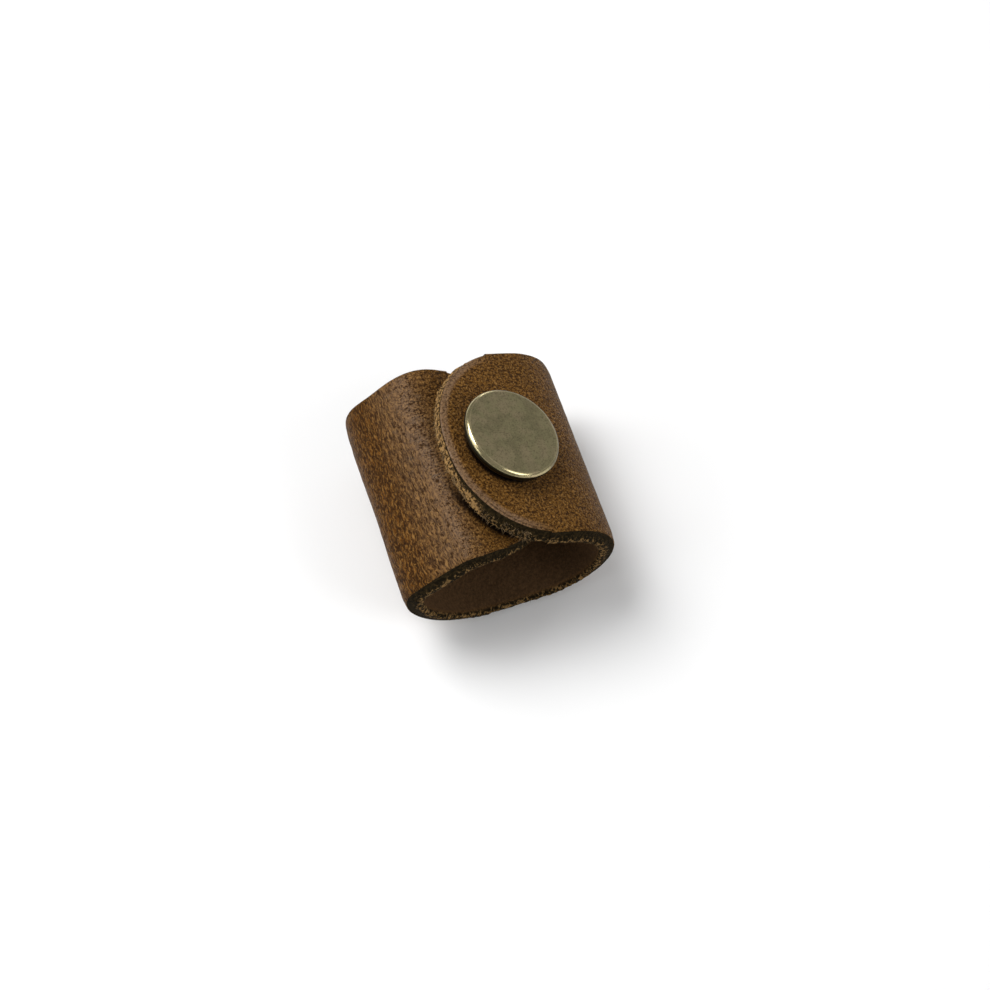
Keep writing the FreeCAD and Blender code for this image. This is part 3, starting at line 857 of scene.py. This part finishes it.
def turned_piece(name, profile, segments, placing, material, value_name):
    """Turn a profile of (radius, height, value) rows about the snap's axis, closed at both ends, with
    the values in an attribute."""
    angles = np.linspace(0, 2 * math.pi, segments, endpoint=False)
    vertices, values, rings = [], [], []
    for radius, height, value in profile:
        first = len(vertices)
        if radius == 0:
            rings.append(np.full(segments, first))
            vertices.append((0.0, 0.0, height))
            values.append(value)
        else:
            rings.append(first + np.arange(segments))
            vertices += [(radius * math.cos(a), radius * math.sin(a), height) for a in angles]
            values += [value] * segments
    faces = []
    for upper, lower in zip(rings, rings[1:]):
        for a, b, c, d in zip(upper, lower, np.roll(lower, -1), np.roll(upper, -1)):
            faces.append(list(dict.fromkeys((int(a), int(b), int(c), int(d)))))
    local = np.array(vertices)
    placed = [placing @ Vector(place) for place in local]
    return new_piece(name, placed, faces, material, {value_name: values, "turned_at": local / MM})


class OBJECT_OT_slide_cap(bpy.types.Operator):
    """Make the snap's cap with its low crown, rolled rim and foot"""

    bl_idname = "object.slide_cap"
    bl_label = "Snap cap"

    SEGMENTS, CROWN_STEPS, RIM_STEPS = 160, 22, 26
    # How rubbed the brass is: plain where it is hidden, and dark round the foot, which is tarnish with
    # painted shade.
    PLAIN, TARNISHED = 0.1, -1.0
    # The foot's height over the grain face, and the post's end, beyond as much under the flesh.
    SEAM, POST_END = 0.2 * MM, 0.3 * MM
    # The small slopes where the foot meets the cap, where it ends, and where the post starts.
    COLLAR_OUT, COLLAR_DOWN, FOOT_SLOPE, POST_SLOPE = 0.15 * MM, 0.1 * MM, 0.06 * MM, 0.05 * MM

    def execute(self, context):
        settings = context.scene.slide_snap
        rim = settings.rim_radius
        top = settings.cap_lift + settings.cap_height
        profile = []
        for part in np.linspace(0, 1, self.CROWN_STEPS):
            height = top + settings.dome * (1 - part ** 2)
            profile.append(((settings.cap_radius - rim) * part, height, 0.0))
        for angle in np.linspace(0, math.pi, self.RIM_STEPS)[1:]:
            over_edge = angle < math.pi / 2
            drop = rim if over_edge else settings.cap_height - rim
            reach = rim if over_edge else settings.tuck
            # Rubbed over the rim's shoulder, and dark below it, which is tarnish with painted shade.
            rim_wear_and_shade = 0.95 * smooth_step(0.2, 0.5, angle) - 1.9 * smooth_step(1.05, 1.55, angle)
            profile.append((settings.cap_radius - reach * (1 - math.sin(angle)),
                            top - rim + drop * math.cos(angle), float(rim_wear_and_shade)))
        foot, post = settings.foot_radius, settings.post_radius
        bottom = -LEATHER * MM - self.SEAM - self.POST_END
        profile += [
            (foot + self.COLLAR_OUT, settings.cap_lift, self.TARNISHED),
            (foot, settings.cap_lift - self.COLLAR_DOWN, self.TARNISHED),
            (foot, self.SEAM + self.FOOT_SLOPE, self.TARNISHED),
            (foot - self.FOOT_SLOPE, self.SEAM, self.PLAIN),
            (post + self.POST_SLOPE, self.SEAM, self.PLAIN),
            (post, self.SEAM - self.POST_SLOPE, self.PLAIN),
            (post, bottom, self.PLAIN),
            (0.0, bottom, self.PLAIN),
        ]
        set_askew = Matrix.Translation((0, settings.shift, 0)) @ Matrix.Rotation(settings.lean, 4, "Y")
        cap = turned_piece("cap_brass", profile, self.SEGMENTS, snap_frame() @ set_askew,
                           brass_finish(settings), "wear_and_shade")
        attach(cap, BODY)
        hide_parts("snap_cap")
        return {"FINISHED"}


BRASS_GRAIN = 0.012 * MM


def brass_finish(settings):
    """Antique brass: cloudy olive patina, rubbed bare where the rim stands out, dark under the rim as
    tarnish with painted shade, and painted shade on the rim's right side.
    """
    finish = Finish("antique_brass", Metallic=1.0)
    at = finish.attribute("turned_at", "Vector")
    wear_and_shade = finish.attribute("wear_and_shade")
    clouds = finish.noise(at, 0.55, 4.0, 0.6)
    dull = finish.noise(at, 0.4, 4.0, 0.6)
    speckle = finish.noise(at, 4.6, 3.0, 0.7)
    grit = finish.noise(at, 7.5, 2.0, 0.7)
    # The rim is worn on its left and front; on the rest of the rim it gets painted shade.
    worn_unshaded_side = finish.step(finish.axis(at, "X") * 0.95 + finish.axis(at, "Y") * 0.3, 2.5, 0.5)
    wear = finish.step(wear_and_shade + (speckle - 0.5) * 0.15, 0.4, 0.9) * worn_unshaded_side
    nicks = finish.step(grit, 0.68, 0.74)
    # Tarnish with painted shade under the rim, and painted shade on the rim's right side.
    tarnish_and_shade = finish.step(wear_and_shade, 0.2, -0.5) + finish.step(wear_and_shade, 0.2, 0.8) * (1 - worn_unshaded_side) * 0.6
    colour = finish.layered(
        settings.patina,
        (finish.step(clouds, 0.38, 0.62), settings.brown_patina),
        (finish.step(dull, 0.55, 0.38) * 0.6, shaded(settings.patina, 0.7)),
        (finish.step(speckle, 0.50, 0.34) * 0.6, shaded(settings.patina, 0.42)),
        (finish.step(speckle, 0.54, 0.66) * 0.5, settings.bare),
        (wear * 0.25 + nicks * 0.6, settings.bare),
        (tarnish_and_shade, shaded(settings.patina, 0.07)))
    roughness = 0.40 + ((grit - 0.5) * 0.15 + (clouds - 0.5) * 0.1) * (1 - wear) - wear * 0.24
    finish.feed(Base_Color=colour, Roughness=roughness,
                Normal=finish.bump(grit * 0.5 + speckle * 0.5, BRASS_GRAIN))
    return finish.material


def plain_brass_finish(settings):
    """The same brass on the snap's pieces between and under the layers, less handled."""
    finish = Finish("antique_brass_inside", Metallic=1.0)
    at = finish.node("TexCoord", output="Object")
    clouds = finish.noise(at, 700.0, 3.0, 0.55)
    speckle = finish.noise(at, 4200.0, 3.0, 0.65)
    colour = finish.layered(
        settings.patina,
        (finish.step(clouds, 0.35, 0.65), settings.brown_patina),
        (finish.step(speckle, 0.5, 0.7) * 0.35, settings.bare))
    finish.feed(Base_Color=colour, Roughness=0.36 + (speckle - 0.5) * 0.2,
                Normal=finish.bump(speckle, BRASS_GRAIN))
    return finish.material


class OBJECT_OT_slide_hardware(bpy.types.Operator):
    """Give the snap's socket, stud and back piece their brass"""

    bl_idname = "object.slide_hardware"
    bl_label = "Snap pieces"

    def execute(self, context):
        brass = plain_brass_finish(context.scene.slide_snap)
        for name in ("snap_socket", "snap_stud", "snap_back"):
            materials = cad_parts[name].data.materials
            materials.clear()
            materials.append(brass)
        return {"FINISHED"}


class OBJECT_OT_slide_studio(bpy.types.Operator):
    """Make the floor, the lights and the camera"""

    bl_idname = "object.slide_studio"
    bl_label = "Studio"

    FLOOR_CORNERS = [(-0.9, -0.9, 0), (0.9, -0.9, 0), (0.9, 0.9, 0), (-0.9, 0.9, 0)]
    FLOOR_MOTTLE = (0.8, 0.8, 0.8)
    LIT_PLACE = Vector((0, 0, 12 * MM))
    LIGHT_DISTANCE = 0.5
    # Each light's name, way, two sizes in metres, and power as a share of the key light's.
    LIGHTS = [
        ("key", (-0.35, 0.41, 0.84), (0.28, 0.3), 1.0),
        ("left_panel", (-0.78, 0.15, 0.61), (0.42, 0.12), 0.2),
        ("fill", (0.6, -0.55, 0.58), (0.25, 0.25), 0.33),
        ("side_strip", (0.66, -0.74, 0.16), (0.03, 0.03), 0.014),
        ("rear_strip", (0.42, 0.90, 0.08), (0.09, 0.03), 0.03),
    ]

    def add_light(self, name, way, size, power):
        """A soft rectangular light that shines at the lit place from a way."""
        light = bpy.data.lights.new(name, "AREA")
        light.shape = "RECTANGLE"
        light.size, light.size_y = size
        light.energy = power
        lamp = bpy.data.objects.new(name, light)
        way = Vector(way).normalized()
        lamp.location = self.LIT_PLACE + way * self.LIGHT_DISTANCE
        lamp.rotation_mode = "QUATERNION"
        lamp.rotation_quaternion = way.to_track_quat("Z", "Y")
        bpy.context.scene.collection.objects.link(lamp)

    def lay_floor(self, settings):
        finish = Finish("pale_floor", Roughness=0.9)
        mottle = finish.noise(finish.node("TexCoord", output="Object"), 60.0, 3.0)
        colour = finish.mix(mottle * 0.02, settings.floor, self.FLOOR_MOTTLE)
        finish.feed(Base_Color=colour)
        floor = new_piece("floor", self.FLOOR_CORNERS, [(0, 1, 2, 3)], finish.material)

    def add_camera(self, settings):
        camera = bpy.data.objects.new("camera", bpy.data.cameras.new("camera"))
        camera.data.sensor_width = 36.0
        camera.data.lens = settings.lens
        camera.data.clip_start = 0.005
        camera.data.clip_end = 10.0
        turn, rise = settings.azimuth, settings.elevation
        level = math.cos(rise)
        back = Vector((math.sin(turn) * level, -math.cos(turn) * level, math.sin(rise)))
        right = Vector((math.cos(turn), math.sin(turn), 0))
        camera.rotation_mode = "QUATERNION"
        axes = Matrix((right, back.cross(right), back)).transposed()
        camera.rotation_quaternion = axes.to_quaternion()
        camera.location = settings.position
        bpy.context.scene.collection.objects.link(camera)
        bpy.context.scene.camera = camera

    def execute(self, context):
        settings = context.scene.slide_studio
        self.lay_floor(settings)
        world = bpy.data.worlds.new("studio")
        world.use_nodes = True
        background = world.node_tree.nodes["Background"]
        background.inputs["Color"].default_value = (1, 1, 1, 1)
        background.inputs["Strength"].default_value = settings.sky
        context.scene.world = world
        for name, way, size, share in self.LIGHTS:
            self.add_light(name, way, size, settings.key * share)
        self.add_camera(settings)
        context.scene.view_settings.view_transform = "Standard"
        return {"FINISHED"}


class VIEW3D_PT_slide(bpy.types.Panel):
    """Lists the pieces of the slide and its studio"""

    bl_label = "Neckerchief slide"
    bl_space_type = "VIEW_3D"
    bl_region_type = "UI"
    bl_category = "Slide"

    def draw(self, context):
        for group, (_, operators) in GROUPS.items():
            box = self.layout.box()
            for operator in operators:
                box.operator(operator)
            settings = getattr(context.scene, group)
            for name in settings.__annotations__:
                box.prop(settings, name)


# Each group of settings, with its class and the operators that it is for.
GROUPS = {
    "slide_strap": (SlideStrapSettings, ("object.slide_strap",)),
    "slide_fibres": (SlideFibreSettings, ("object.slide_fibres",)),
    "slide_snap": (SlideSnapSettings, ("object.slide_cap", "object.slide_hardware")),
    "slide_studio": (SlideStudioSettings, ("object.slide_studio",)),
}
CLASSES = (SlideStrapSettings, SlideFibreSettings, SlideSnapSettings, SlideStudioSettings,
           OBJECT_OT_slide_strap, OBJECT_OT_slide_fibres, OBJECT_OT_slide_cap,
           OBJECT_OT_slide_hardware, OBJECT_OT_slide_studio, VIEW3D_PT_slide)


def register():
    for item in CLASSES:
        bpy.utils.register_class(item)
    for name, (settings, _) in GROUPS.items():
        setattr(bpy.types.Scene, name, PointerProperty(type=settings))


def unregister():
    for name in GROUPS:
        delattr(bpy.types.Scene, name)
    for item in reversed(CLASSES):
        bpy.utils.unregister_class(item)


def main():
    """Make every piece."""
    register()
    bpy.ops.object.slide_strap()
    bpy.ops.object.slide_fibres()
    bpy.ops.object.slide_cap()
    bpy.ops.object.slide_hardware()
    bpy.ops.object.slide_studio()


if __name__ == "__main__":
    main()
